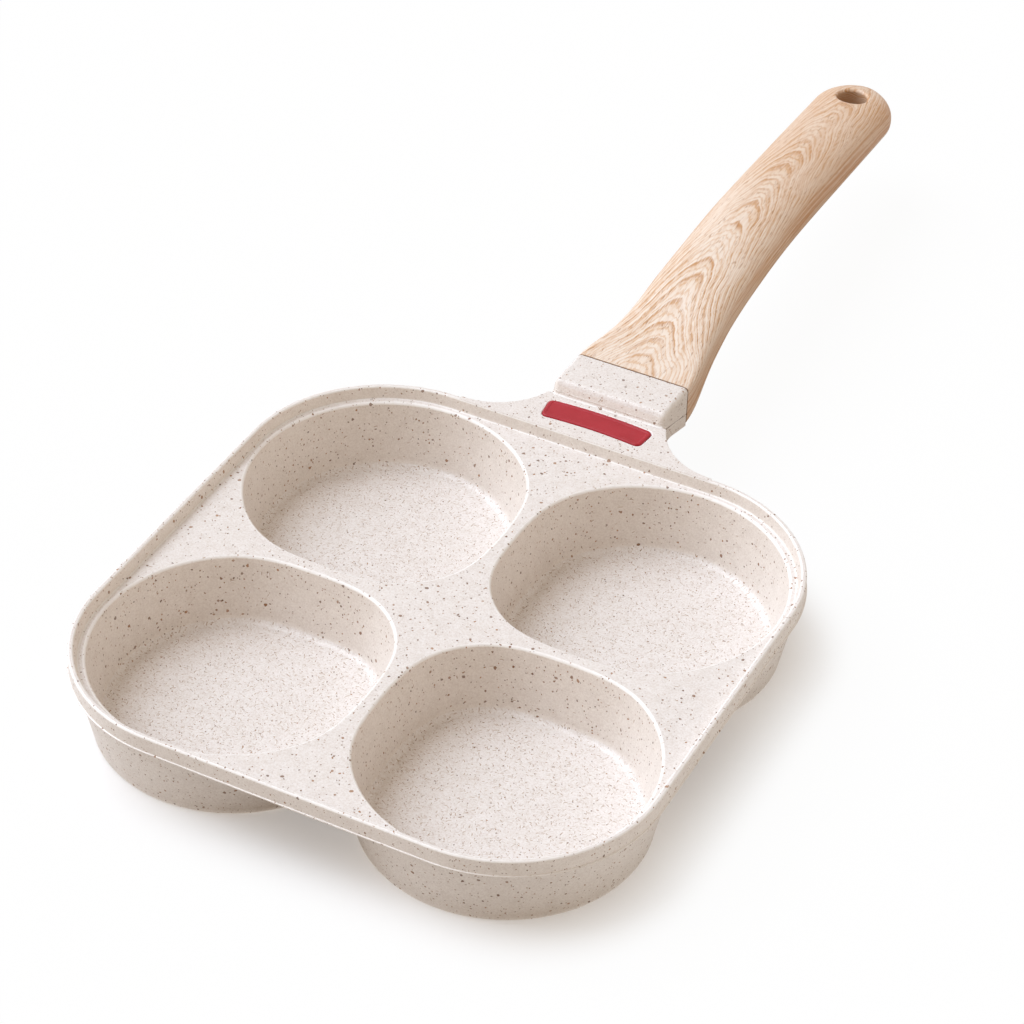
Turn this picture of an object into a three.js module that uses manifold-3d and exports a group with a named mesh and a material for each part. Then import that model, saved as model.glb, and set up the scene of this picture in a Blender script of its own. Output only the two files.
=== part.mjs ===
// Four-cup egg pan: a coated aluminium casting with a wood-look grip, its cover and the screws that hold it.
// Millimetres, +Z up, the handle points towards +Y. The origin is under the middle of the whole outline,
// handle included.

import * as THREE from 'three';
import { mergeVertices } from 'three/addons/utils/BufferGeometryUtils.js';
import Module from 'manifold-3d';

const wasm = await Module();
wasm.setup();

// Clearance between pieces that touch
const seatGap = 0.3;

// Cups, sized at the deck
const cupRadius = 47.2;
const cupBulge = 2.6; // extra reach towards the middle of the pan
const cupFlat = 46.1; // flattened reach towards a neighbouring cup
const cupFlatSharpness = 18; // how tightly the flats blend into the round
const cupWeb = 2.4; // deck left between two neighbouring cups
const cupDraft = 4; // how much narrower the cup is at its floor
const cupEdgeFillet = 0.9;
const cupFloorFillet = 3.2;
const cupFloor = 2.6; // thickness of the floor
const wallAtDeck = 4.1;
const wallAtFloor = 3.5;
const baseFillet = 1.6;
const footWidth = 5; // ring that the cup stands on
const footDepth = 0.5;

// Tray: deck, standing rim and skirt
const rimTop = 30; // above the table
const rimHeight = 4.2; // above the deck
const rimLip = 2.3;
const rimDraft = 0.7; // how much thicker the rim is at the deck
const rimFillet = 0.8;
const deckThickness = 2.2;
const deckLedge = 1; // between the cup's edge and the rim
const deckFillet = 0.7;
const skirtChamfer = 0.6;
const cornerEase = 1.3; // how much tighter the corners are than a circle round the cup

// Neck and lug
const neckLength = 16.6; // from the rim to the cover
const neckFillet = 25;
const blockHalf = 20.5; // half width of neck, lug, cover and grip where they meet
const lugSlope = THREE.MathUtils.degToRad(15.5);
const lugStep = 1.7; // from the top of the neck down to the front of the lug's seat
const lugThickness = 4.5;
const coreDepth = 2.5; // relief under the neck
const coreMargin = 3.4;
const coreRib = 4;

// Cover on the lug
const coverLength = 19.1;
const coverRise = 4.3; // ridge above the neck
const coverRidge = 4.6; // from the cover's front to its ridge
const coverFall = 0.7; // from the ridge down to the grip
const coverFoot = 1.1; // height of the upright foot above the neck
const coverCorner = 3;
const coverEdge = 2.2;
const coverShoulder = 2.7; // height above the neck where the front face turns over into the ridge
const coverRoof = 2.2; // above the grip's tongue

// Grip
const gripLength = 201.2;
const gripHalf = 15.2;
const gripShoulder = 16.4; // half width just behind the front flare
const gripDepth = 20; // height of the grip's thickest section
const gripFrontDepth = 15.2; // height where it meets the cover
const gripEndDepth = 18;
const gripRise = 10.4; // middle of the arch above the front
const gripDroop = 4.2; // end below the middle of the arch
const gripFlare = 21; // length over which the front flare fades
const gripTaper = 135; // length over which the width settles behind the flare
const gripSwell = 100; // length over which the depth grows to its full measure
const gripThinning = 60; // length over which the depth falls off towards the end
const gripEndRound = 15.5;
const tipFlat = 0.06; // the tip's last section stands this far before the end
const gripEndShare = 0.45; // of the depth that is left at the tip
const gripSoftness = 2.3; // power of the oval section
const gripSquareness = 15.7; // added to it at the front, where the section is a rounded rectangle
const gripSquareFade = 16; // length over which the rectangle softens
// Arch of the grip as shares of its length and rise
const gripArchStops = [[0, 0], [0.09, 0.02], [0.17, 0.32], [0.24, 0.63], [0.35, 0.86], [0.52, 1]];
const tongueHalf = 15;
const tongueLength = 13.5;
const tongueRoot = 4.8; // how far the tongue runs on inside the grip
const hangBore = 5.2; // radius of the hanging hole
const hangFillet = 1.5;
const hangInset = 16; // from the end of the grip

// Red inlay on the neck
const patchWidth = 37;
const patchHeight = 9;
const patchBow = 91; // radius of its arc
const patchCorner = 2.6;
const patchDepth = 1.2;
const patchProud = 0.3;
const patchInset = 9.4; // from the rim's outer face to the patch's middle
const patchEdge = 0.35;

// Fastening
const screwSpacing = 18;
const screwBack = 5.6; // from the grip's front face
const screwRadius = 2;
const screwHead = 3.9;
const screwHeadHeight = 2.4;
const screwReach = 3.6; // into the tongue
const screwPoint = 0.5; // chamfer at the screw's end
const driveRadius = 1.5;
const driveDepth = 1.3;
const washerRadius = 4.3;
const washerThickness = 0.8;
const counterbore = 2;
const insertRadius = 3;
const insertLength = 4;
const insertDepth = 0.6; // from the seat up to the insert

// Worked-out places
const deckTop = rimTop - rimHeight;
const deckBottom = deckTop - deckThickness;
const cupCentre = cupReach(1, 0) + cupWeb / 2;
const rimReach = cupRadius + deckLedge + rimDraft + rimLip;
const panHalf = cupCentre + rimReach;
const cornerRadius = rimReach - cornerEase;
const coverFront = panHalf + neckLength;
const coverBack = coverFront + coverLength;
const coverBackTop = rimTop + coverRise - coverFall;
const gripFront = coverBack + seatGap;
const gripEnd = gripFront + gripLength;
const tongueTop = coverBackTop - coverRoof - seatGap;
const tongueFront = gripFront - tongueLength;
const screwY = gripFront - screwBack;

// Height of the lug's sloping seat at a place along the pan
function seatHeight(y) {
  return rimTop - lugStep - (y - coverFront) * Math.tan(lugSlope);
}

// Reach of a cup's edge from its centre. The direction is given towards the two neighbouring cups.
function cupReach(towardsFirst, towardsSecond) {
  const towardsMiddle = Math.max(0, (towardsFirst + towardsSecond) / Math.SQRT2);
  const round = cupRadius + cupBulge * towardsMiddle ** 4;
  const flat = (part) => (Math.max(0, part) / cupFlat) ** cupFlatSharpness;
  const joined = round ** -cupFlatSharpness + flat(towardsFirst) + flat(towardsSecond);
  return joined ** (-1 / cupFlatSharpness);
}

function solidFrom(geometry) {
  geometry.deleteAttribute('normal');
  geometry.deleteAttribute('uv');
  const merged = mergeVertices(geometry, 1e-4);
  return new wasm.Manifold(new wasm.Mesh({
    numProp: 3,
    vertProperties: new Float32Array(merged.attributes.position.array),
    triVerts: new Uint32Array(merged.index.array),
  }));
}

function geometryFrom(solid) {
  const mesh = solid.getMesh();
  const geometry = new THREE.BufferGeometry();
  geometry.setAttribute('position', new THREE.BufferAttribute(mesh.vertProperties, mesh.numProp));
  geometry.setIndex(new THREE.BufferAttribute(mesh.triVerts, 1));
  return geometry;
}

// Closed skin through rings of points, each ring counter-clockwise seen from the end of the loft
function loft(rings) {
  const count = rings[0].length;
  const middle = (ring) => ring.reduce((sum, p) => sum.add(p), new THREE.Vector3()).divideScalar(count);
  const points = [...rings.flat(), middle(rings[0]), middle(rings.at(-1))];
  const startCap = rings.length * count;
  const triangles = [];
  for (let j = 0; j < count; j++) {
    const next = (j + 1) % count;
    for (let i = 0; i + 1 < rings.length; i++) {
      const low = i * count;
      const high = low + count;
      triangles.push(low + j, low + next, high + next, low + j, high + next, high + j);
    }
    const last = startCap - count;
    triangles.push(startCap, next, j, startCap + 1, last + j, last + next);
  }
  const geometry = new THREE.BufferGeometry().setFromPoints(points);
  geometry.setIndex(triangles);
  return geometry;
}

// Quarter of a round edge as [along, up] pairs, level at (0, 0) and upright at (radius, radius)
function quarter(radius, steps) {
  const pairs = [];
  for (let i = 0; i <= steps; i++) {
    const angle = (i / steps) * Math.PI / 2;
    pairs.push([radius * Math.sin(angle), radius * (1 - Math.cos(angle))]);
  }
  return pairs;
}

function extrude(shape, depth) {
  return new THREE.ExtrudeGeometry(shape, { depth, bevelEnabled: false, curveSegments: 10 });
}

// Extrusion of a side profile, drawn as (y, z), from -half to half across the pan
function acrossPan(shape, half) {
  const geometry = extrude(shape, 2 * half);
  geometry.applyMatrix4(new THREE.Matrix4().makeBasis(
    new THREE.Vector3(0, 1, 0),
    new THREE.Vector3(0, 0, 1),
    new THREE.Vector3(1, 0, 0),
  ));
  return solidFrom(geometry.translate(-half, 0, 0));
}

// Upright extrusion of a plan, drawn as (x, y)
function upright(shape, bottom, top) {
  return solidFrom(extrude(shape, top - bottom).translate(0, 0, bottom));
}

function polygon(points) {
  return new THREE.Shape(points.map(([a, b]) => new THREE.Vector2(a, b)));
}

function turned(profile, segments = 24) {
  const points = profile.map(([radius, height]) => new THREE.Vector2(radius, height));
  return new THREE.LatheGeometry(points, segments).rotateX(Math.PI / 2);
}

// Square with rounded corners, drawn in from the rim's outer face
function trayRing(inset, height, steps = 10) {
  const radius = cornerRadius - inset;
  const centre = panHalf - cornerRadius;
  const ring = [];
  for (const [corner, sx, sy] of [[0, 1, 1], [1, -1, 1], [2, -1, -1], [3, 1, -1]]) {
    for (let i = 0; i <= steps; i++) {
      const angle = (corner + i / steps) * Math.PI / 2;
      const x = sx * centre + radius * Math.cos(angle);
      const y = sy * centre + radius * Math.sin(angle);
      ring.push(new THREE.Vector3(x, y, height));
    }
  }
  return ring;
}

function traySolid() {
  const rings = [trayRing(skirtChamfer, deckBottom), trayRing(0, deckBottom + skirtChamfer)];
  for (const [along, down] of quarter(rimFillet, 3).reverse()) {
    rings.push(trayRing(rimFillet - along, rimTop - down));
  }
  for (const [along, down] of quarter(rimFillet, 3)) {
    rings.push(trayRing(rimLip - rimFillet + along, rimTop - down));
  }
  for (const [along, up] of quarter(deckFillet, 2).reverse()) {
    rings.push(trayRing(rimLip + rimDraft + deckFillet - along, deckTop + up));
  }
  return solidFrom(loft(rings));
}

// Ring round one cup, drawn in from the cup's edge at the deck
function cupRing(sx, sy, inset, height, steps = 40) {
  const ring = [];
  for (let i = 0; i < steps; i++) {
    const angle = (i / steps) * 2 * Math.PI;
    const x = Math.cos(angle);
    const y = Math.sin(angle);
    const reach = cupReach(-sx * x, -sy * y) - inset;
    ring.push(new THREE.Vector3(sx * cupCentre + reach * x, sy * cupCentre + reach * y, height));
  }
  return ring;
}

// How far the cup's inner wall has come in at a height
function wallInset(height) {
  return cupEdgeFillet + cupDraft * (deckTop - height) / (deckTop - cupFloor);
}

function wallThickness(height) {
  return THREE.MathUtils.mapLinear(height, cupFloor, deckTop, wallAtFloor, wallAtDeck);
}

function cupOutside(sx, sy) {
  const outer = (height) => wallInset(height) - wallThickness(height);
  const rings = quarter(baseFillet, 3).map(([along, up]) => (
    cupRing(sx, sy, outer(baseFillet) + baseFillet - along, up)
  ));
  rings.push(cupRing(sx, sy, outer(deckBottom), deckBottom));
  rings.push(cupRing(sx, sy, outer(deckBottom), deckBottom + deckThickness / 2));
  return solidFrom(loft(rings));
}

function cupHollow(sx, sy) {
  const rings = quarter(cupFloorFillet, 5).map(([along, up]) => (
    cupRing(sx, sy, wallInset(cupFloor + cupFloorFillet) + cupFloorFillet - along, cupFloor + up)
  ));
  const edge = wallInset(deckTop - cupEdgeFillet) - cupEdgeFillet;
  for (const [along, down] of quarter(cupEdgeFillet, 3).reverse()) {
    rings.push(cupRing(sx, sy, edge + along, deckTop - down));
  }
  rings.push(cupRing(sx, sy, edge, rimTop));
  return solidFrom(loft(rings));
}

// Shallow relief that leaves a ring to stand on
function cupFoot(sx, sy) {
  const inset = wallInset(baseFillet) - wallThickness(baseFillet) + baseFillet + footWidth;
  const low = cupRing(sx, sy, inset, -footDepth);
  const high = cupRing(sx, sy, inset + footDepth, footDepth);
  return solidFrom(loft([low, high]));
}

// Plan of neck and lug: a hollow curve on each side that runs out along the rim
function neckPlan() {
  const root = panHalf - rimLip / 2 - rimFillet;
  const bend = blockHalf + neckFillet;
  const shape = new THREE.Shape();
  shape.moveTo(-bend, root);
  shape.lineTo(bend, root);
  shape.absarc(bend, panHalf + neckFillet, neckFillet, 1.5 * Math.PI, Math.PI, true);
  shape.lineTo(blockHalf, gripEnd);
  shape.lineTo(-blockHalf, gripEnd);
  shape.absarc(-bend, panHalf + neckFillet, neckFillet, 0, -0.5 * Math.PI, true);
  return shape;
}

// The neck is flush with the rim, then steps down to the lug's sloping seat under the cover
function neckSolid() {
  const low = deckBottom - coverLength;
  const plan = new THREE.ExtrudeGeometry(neckPlan(), {
    depth: rimTop - low - 2 * rimFillet,
    bevelSize: rimFillet,
    bevelThickness: rimFillet,
    bevelOffset: -rimFillet,
    bevelSegments: 3,
    curveSegments: 12,
  });
  const drop = lugThickness / Math.cos(lugSlope);
  const step = coverFront - seatGap;
  const under = coverFront + (rimTop - lugStep - drop - deckBottom) / Math.tan(lugSlope);
  const side = polygon([
    [panHalf - rimLip, deckBottom],
    [under, deckBottom],
    [coverBack, seatHeight(coverBack) - drop],
    [coverBack, seatHeight(coverBack)],
    [step, seatHeight(step)],
    [step, rimTop],
    [panHalf - rimLip, rimTop],
  ]);
  return solidFrom(plan.translate(0, 0, low + rimFillet)).intersect(acrossPan(side, panHalf));
}

// Two shallow pockets under the neck with a rib between them
function neckCore() {
  const front = panHalf + coreMargin;
  const back = coverFront - coreMargin;
  const pockets = [-1, 1].map((side) => {
    const inner = side * coreRib / 2;
    const outer = side * (blockHalf - coreMargin);
    const plan = polygon([[inner, front], [outer, front], [outer, back], [inner, back]]);
    return upright(plan, deckBottom - coreDepth, deckBottom + coreDepth);
  });
  return pockets[0].add(pockets[1]);
}

// The inlay's plan: a rounded bar bent along an arc
function patchShape(grow) {
  const half = patchHeight / 2 + grow;
  const centre = panHalf + patchInset - patchBow;
  const spread = (patchWidth / 2 + grow - patchCorner) / patchBow;
  const corner = patchCorner + grow;
  const shape = new THREE.Shape();
  const outer = patchBow + half;
  const inner = patchBow - half;
  const along = (radius, angle) => [radius * Math.sin(angle), centre + radius * Math.cos(angle)];
  shape.moveTo(...along(inner, -spread));
  shape.absarc(0, centre, inner, Math.PI / 2 + spread, Math.PI / 2 - spread, true);
  for (const [radius, turn] of [[inner + corner, -Math.PI / 2], [outer - corner, 0]]) {
    const [x, y] = along(radius, spread);
    shape.absarc(x, y, corner, turn - spread, turn - spread + Math.PI / 2, false);
  }
  shape.absarc(0, centre, outer, Math.PI / 2 - spread, Math.PI / 2 + spread, false);
  for (const [radius, turn] of [[outer - corner, Math.PI / 2], [inner + corner, Math.PI]]) {
    const [x, y] = along(radius, -spread);
    shape.absarc(x, y, corner, turn + spread, turn + spread + Math.PI / 2, false);
  }
  return shape;
}

// Frame on the lug's seat under one screw: z runs square to the seat
function screwFrame(side) {
  const matrix = new THREE.Matrix4().makeRotationX(-lugSlope);
  return matrix.setPosition(side * screwSpacing / 2, screwY, seatHeight(screwY));
}

function drilled(side, radius, from, to) {
  const geometry = turned([[0, from], [radius, from], [radius, to], [0, to]]);
  return solidFrom(geometry.applyMatrix4(screwFrame(side)));
}

function panBody() {
  let body = traySolid().add(neckSolid());
  for (const sx of [-1, 1]) {
    for (const sy of [-1, 1]) {
      body = body.add(cupOutside(sx, sy));
    }
  }
  for (const sx of [-1, 1]) {
    for (const sy of [-1, 1]) {
      body = body.subtract(cupHollow(sx, sy)).subtract(cupFoot(sx, sy));
    }
  }
  body = body.subtract(neckCore());
  const recess = upright(patchShape(seatGap), rimTop - patchDepth - seatGap, rimTop + patchProud);
  body = body.subtract(recess);
  const below = -2 * lugThickness;
  for (const side of [-1, 1]) {
    body = body.subtract(drilled(side, screwRadius + seatGap, below, lugThickness));
    body = body.subtract(drilled(side, washerRadius + seatGap, below, counterbore - lugThickness));
  }
  return geometryFrom(body);
}

function coverBody() {
  const bottom = (y) => seatHeight(y) + seatGap;
  const ridge = coverFront + coverRidge;
  const side = new THREE.Shape();
  side.moveTo(coverFront, bottom(coverFront));
  side.lineTo(coverBack, bottom(coverBack));
  side.lineTo(coverBack, coverBackTop);
  const crown = rimTop + coverRise;
  const fallen = coverFall * coverCorner / (coverLength - coverRidge);
  const shoulder = rimTop + coverShoulder;
  side.lineTo(ridge + coverCorner, crown - fallen);
  side.quadraticCurveTo(ridge, crown, ridge - coverCorner / 2, shoulder);
  side.quadraticCurveTo(coverFront, (rimTop + coverFoot + shoulder) / 2, coverFront, rimTop + coverFoot);
  const section = new THREE.Shape();
  section.moveTo(-blockHalf, deckBottom - coverLength);
  section.lineTo(blockHalf, deckBottom - coverLength);
  section.absarc(blockHalf - coverEdge, crown - coverEdge, coverEdge, 0, Math.PI / 2, false);
  section.absarc(coverEdge - blockHalf, crown - coverEdge, coverEdge, Math.PI / 2, Math.PI, false);
  const plan = new THREE.Shape();
  plan.moveTo(blockHalf, coverBack);
  plan.lineTo(-blockHalf, coverBack);
  const cornerX = blockHalf - coverCorner;
  const cornerY = coverFront + coverCorner;
  plan.absarc(-cornerX, cornerY, coverCorner, Math.PI, 1.5 * Math.PI, false);
  plan.absarc(cornerX, cornerY, coverCorner, 1.5 * Math.PI, 2 * Math.PI, false);
  const along = extrude(section, coverLength).rotateX(Math.PI / 2).translate(0, coverBack, 0);
  const block = acrossPan(side, blockHalf)
    .intersect(solidFrom(along))
    .intersect(upright(plan, deckBottom - coverLength, crown));
  return geometryFrom(block.subtract(tongueSolid(seatGap)));
}

// The tongue under the cover, or the pocket for it when grown
function tongueSolid(grow) {
  const front = tongueFront - grow;
  const back = gripFront + tongueRoot;
  const under = grow > 0 ? -lugThickness : seatGap;
  return acrossPan(polygon([
    [front, seatHeight(front) + under],
    [back, seatHeight(back) + under],
    [back, tongueTop + grow],
    [front, tongueTop + grow],
  ]), tongueHalf + grow);
}

// Smooth curve through the grip's middle heights, from its front to its end
const gripFrontMiddle = coverBackTop - gripFrontDepth / 2;
const gripArch = new THREE.SplineCurve([
  ...gripArchStops.map(([length, rise]) => (
    new THREE.Vector2(length * gripLength, gripFrontMiddle + rise * gripRise)
  )),
  new THREE.Vector2(gripLength, gripFrontMiddle + gripRise - gripDroop),
]);

function archAt(along) {
  let low = 0;
  let high = 1;
  for (let i = 0; i < 40; i++) {
    const mid = (low + high) / 2;
    if (gripArch.getPoint(mid).x < along) low = mid;
    else high = mid;
  }
  return gripArch.getPoint(low).y;
}

// Quarter wave from 0 to 1 over a length
function easeOver(along, length) {
  return Math.sin(THREE.MathUtils.clamp(along / length, 0, 1) * Math.PI / 2);
}

// One section of the grip, a rounded rectangle at the cover that softens into an oval
function gripRing(along, steps = 36) {
  const { lerp } = THREE.MathUtils;
  const flare = (blockHalf - gripShoulder) * Math.exp(-((along / gripFlare) ** 2));
  const thinning = Math.max(0, along - gripLength + gripThinning) / gripThinning;
  const turnedIn = Math.max(0, along - gripLength + gripEndRound) / gripEndRound;
  const tip = Math.sqrt(1 - turnedIn ** 2);
  const half = (flare + lerp(gripShoulder, gripHalf, easeOver(along, gripTaper))) * tip;
  const fullDepth = lerp(gripFrontDepth, gripDepth, easeOver(along, gripSwell));
  const depth = lerp(fullDepth, gripEndDepth, thinning ** 2) * lerp(gripEndShare, 1, tip);
  const power = gripSoftness + gripSquareness * Math.exp(-along / gripSquareFade);
  const round = (value) => Math.sign(value) * Math.abs(value) ** (2 / power);
  const middle = archAt(along);
  const ring = [];
  for (let i = 0; i < steps; i++) {
    const angle = (i / steps) * 2 * Math.PI;
    const x = -half * round(Math.cos(angle));
    const z = middle + (depth / 2) * round(Math.sin(angle));
    ring.push(new THREE.Vector3(x, gripFront + along, z));
  }
  return ring;
}

// Sections stand close together in the flare and round the tip
function gripSolid() {
  const straight = gripLength - gripEndRound;
  const flareSteps = 8;
  const gripSteps = 12;
  const tipSteps = 6;
  const stops = [];
  for (let i = 0; i < flareSteps; i++) {
    stops.push(2 * gripFlare * i / flareSteps);
  }
  for (let i = 0; i < gripSteps; i++) {
    stops.push(THREE.MathUtils.lerp(2 * gripFlare, straight, i / gripSteps));
  }
  for (let i = 0; i < tipSteps; i++) {
    stops.push(straight + gripEndRound * Math.sin((i / tipSteps) * Math.PI / 2));
  }
  stops.push(gripLength - tipFlat);
  return solidFrom(loft(stops.map((along) => gripRing(along))));
}

// The hanging hole runs square to the grip's top, with round edges
function hangHole() {
  const along = gripLength - hangInset;
  const slope = Math.atan(archAt(along + 1) - archAt(along));
  const reach = gripEndDepth / 2;
  const profile = [[0, -2 * reach], [hangBore + hangFillet, -2 * reach]];
  for (const [across, up] of quarter(hangFillet, 3)) {
    profile.push([hangBore + hangFillet - across, up - reach]);
  }
  for (const [across, down] of quarter(hangFillet, 3).reverse()) {
    profile.push([hangBore + hangFillet - across, reach - down]);
  }
  profile.push([hangBore + hangFillet, 2 * reach], [0, 2 * reach]);
  const geometry = turned(profile);
  return solidFrom(geometry.rotateX(slope).translate(0, gripFront + along, archAt(along)));
}

function gripBody() {
  let grip = gripSolid().add(tongueSolid(0)).subtract(hangHole());
  for (const side of [-1, 1]) {
    const top = insertDepth + insertLength + seatGap;
    grip = grip.subtract(drilled(side, insertRadius + seatGap, -lugThickness, top));
  }
  return geometryFrom(grip);
}

function patchBody() {
  const geometry = new THREE.ExtrudeGeometry(patchShape(0), {
    depth: patchDepth + patchProud - 2 * patchEdge,
    bevelSize: patchEdge,
    bevelThickness: patchEdge,
    bevelOffset: -patchEdge,
    bevelSegments: 2,
    curveSegments: 6,
  });
  return geometry.translate(0, 0, rimTop - patchDepth + patchEdge);
}

// Pan-head screw from below, with a hexagonal drive
function screwBody() {
  const seat = counterbore - lugThickness - 2 * seatGap - washerThickness;
  const crown = screwHeadHeight / 2;
  const body = turned([
    [0, seat - screwHeadHeight],
    [screwHead - crown, seat - screwHeadHeight],
    [screwHead - crown * (1 - Math.SQRT1_2), seat - screwHeadHeight + crown * (1 - Math.SQRT1_2)],
    [screwHead, seat - screwHeadHeight + crown],
    [screwHead, seat],
    [screwRadius, seat],
    [screwRadius, screwReach - screwPoint],
    [screwRadius - screwPoint, screwReach],
    [0, screwReach],
  ]);
  const bottom = seat - screwHeadHeight;
  const drive = turned([
    [0, bottom - driveDepth],
    [driveRadius, bottom - driveDepth],
    [driveRadius, bottom + driveDepth],
    [0, bottom + driveDepth],
  ], 6);
  return geometryFrom(solidFrom(body).subtract(solidFrom(drive)));
}

function tubeBody(outer, inner, bottom, top) {
  return turned([[inner, bottom], [outer, bottom], [outer, top], [inner, top], [inner, bottom]]);
}

const coating = { color: 0xe4d9cf, roughness: 0.55, metalness: 0 };
const wood = { color: 0xd9b994, roughness: 0.5, metalness: 0 };
const silicone = { color: 0xb23240, roughness: 0.45, metalness: 0 };
const steel = { color: 0xb9bcc0, roughness: 0.35, metalness: 1 };
const brass = { color: 0xc9a24e, roughness: 0.4, metalness: 1 };

function piece(name, geometry, finish) {
  const mesh = new THREE.Mesh(geometry, new THREE.MeshStandardMaterial(finish));
  mesh.name = name;
  return mesh;
}

const pan = new THREE.Group();
pan.add(piece('pan_body', panBody(), coating));
pan.add(piece('handle_cover', coverBody(), coating));
pan.add(piece('handle_grip', gripBody(), wood));
pan.add(piece('heat_patch', patchBody(), silicone));

for (const [word, side] of [['left', -1], ['right', 1]]) {
  const fastening = new THREE.Group();
  fastening.applyMatrix4(screwFrame(side));
  const washerTop = counterbore - lugThickness - seatGap;
  const washer = tubeBody(washerRadius, screwRadius + seatGap, washerTop - washerThickness, washerTop);
  const insert = tubeBody(insertRadius, screwRadius + seatGap, insertDepth, insertDepth + insertLength);
  fastening.add(piece(`clamp_screw_${word}`, screwBody(), steel));
  fastening.add(piece(`lock_washer_${word}`, washer, steel));
  fastening.add(piece(`thread_insert_${word}`, insert, brass));
  pan.add(fastening);
}

// The finished pan stands with the middle of its outline over the origin
const outline = new THREE.Box3().setFromObject(pan);
pan.position.set(0, -(outline.min.y + outline.max.y) / 2, -outline.min.z);

const eggPan = new THREE.Group();
eggPan.add(pan);
export default eggPan;
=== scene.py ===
import math

import bmesh
import bpy
from mathutils import Matrix, Vector


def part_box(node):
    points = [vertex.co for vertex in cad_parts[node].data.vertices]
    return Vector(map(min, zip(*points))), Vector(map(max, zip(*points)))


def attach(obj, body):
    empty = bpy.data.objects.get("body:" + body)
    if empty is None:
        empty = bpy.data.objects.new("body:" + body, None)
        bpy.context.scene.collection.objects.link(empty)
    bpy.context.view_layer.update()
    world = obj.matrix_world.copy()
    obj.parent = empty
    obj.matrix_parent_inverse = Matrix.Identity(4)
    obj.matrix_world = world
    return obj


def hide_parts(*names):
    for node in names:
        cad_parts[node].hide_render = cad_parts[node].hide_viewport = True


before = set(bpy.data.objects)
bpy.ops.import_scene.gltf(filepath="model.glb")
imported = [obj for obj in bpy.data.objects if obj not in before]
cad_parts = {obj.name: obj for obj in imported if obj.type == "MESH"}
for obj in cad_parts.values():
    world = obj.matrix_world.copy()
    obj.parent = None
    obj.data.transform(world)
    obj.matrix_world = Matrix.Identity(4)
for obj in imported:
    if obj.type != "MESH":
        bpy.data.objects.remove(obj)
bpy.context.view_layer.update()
scene = bpy.context.scene
panLow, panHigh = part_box("pan_body")
perMetre = 1000
# Pieces are drawn in millimetres round the middle of the four cups, then put into the frame
toFrame = Matrix.Translation((0, panLow.y + panHigh.x, 0)) @ Matrix.Scale(1 / perMetre, 4)
print("frame loaded:", len(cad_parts), "nodes")


class Wire:
    # an output socket of a shader; sums on it add Math nodes

    def __init__(self, finish, socket):
        self.finish = finish
        self.socket = socket

    def math(self, operation, *values):
        return self.finish.node("ShaderNodeMath", {"operation": operation}, dict(enumerate(values)))

    def __add__(self, other):
        return self.math("ADD", self, other)

    def __radd__(self, other):
        return self.math("ADD", other, self)

    def __sub__(self, other):
        return self.math("SUBTRACT", self, other)

    def __rsub__(self, other):
        return self.math("SUBTRACT", other, self)

    def __mul__(self, other):
        return self.math("MULTIPLY", self, other)

    def __rmul__(self, other):
        return self.math("MULTIPLY", other, self)

    def __truediv__(self, other):
        return self.math("DIVIDE", self, other)

    def __rtruediv__(self, other):
        return self.math("DIVIDE", other, self)

    def __abs__(self):
        return self.math("ABSOLUTE", self)

    def fract(self):
        return self.math("FRACT", self)

    def root(self):
        return self.math("SQRT", self)

    def atMost(self, other):
        return self.math("MINIMUM", self, other)

    def atLeast(self, other):
        return self.math("MAXIMUM", self, other)

    def above(self, other):
        return self.math("GREATER_THAN", self, other)

    def rise(self, low, high):
        # 0 below low, 1 above high, soft between; low may be the larger one
        return self.finish.node("ShaderNodeMapRange", {"interpolation_type": "SMOOTHSTEP"},
                                {"Value": self, "From Min": low, "From Max": high})

    def beside(self, name):
        # another output of the same node
        return Wire(self.finish, self.socket.node.outputs[name])


class Finish:
    # a material, or the world, and its nodes

    def __init__(self, name, owner=None):
        self.owner = owner or bpy.data.materials.new(name)
        self.owner.use_nodes = True
        self.tree = self.owner.node_tree
        self.tree.nodes.clear()

    def node(self, kind, settings=None, sockets=None, out=0):
        made = self.tree.nodes.new(kind)
        for key, value in (settings or {}).items():
            setattr(made, key, value)
        for key, value in (sockets or {}).items():
            socket = made.inputs[key]
            if isinstance(value, Wire):
                self.tree.links.new(value.socket, socket)
            elif isinstance(value, (tuple, list)) and socket.type == "RGBA":
                socket.default_value = (*value, 1)
            else:
                socket.default_value = value
        return Wire(self, made.outputs[out]) if made.outputs else made

    def place(self):
        return self.node("ShaderNodeTexCoord", out="Object")

    def split(self, vector):
        made = self.node("ShaderNodeSeparateXYZ", sockets={0: vector})
        return [Wire(self, s) for s in made.socket.node.outputs]

    def join(self, x, y, z):
        return self.node("ShaderNodeCombineXYZ", sockets={0: x, 1: y, 2: z})

    def noise(self, vector, scale, detail=2, rough=0.5, out="Fac"):
        return self.node("ShaderNodeTexNoise", None,
                         {"Vector": vector, "Scale": scale, "Detail": detail, "Roughness": rough}, out)

    def mix(self, share, first, second):
        return self.node("ShaderNodeMix", {"data_type": "RGBA"}, {0: share, 6: first, 7: second}, 2)

    def vector(self, operation, first, second):
        return self.node("ShaderNodeVectorMath", {"operation": operation}, {0: first, 1: second})

    def bump(self, height, strength, distance):
        return self.node("ShaderNodeBump", None,
                         {"Height": height, "Strength": strength, "Distance": distance})

    def surface(self, **sockets):
        named = {key.replace("_", " "): value for key, value in sockets.items()}
        shader = self.node("ShaderNodeBsdfPrincipled", None, named)
        self.node("ShaderNodeOutputMaterial", None, {"Surface": shader})
        return self.owner


def strongest(masks):
    top = masks[0]
    for mask in masks[1:]:
        top = top.atLeast(mask)
    return top


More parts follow.
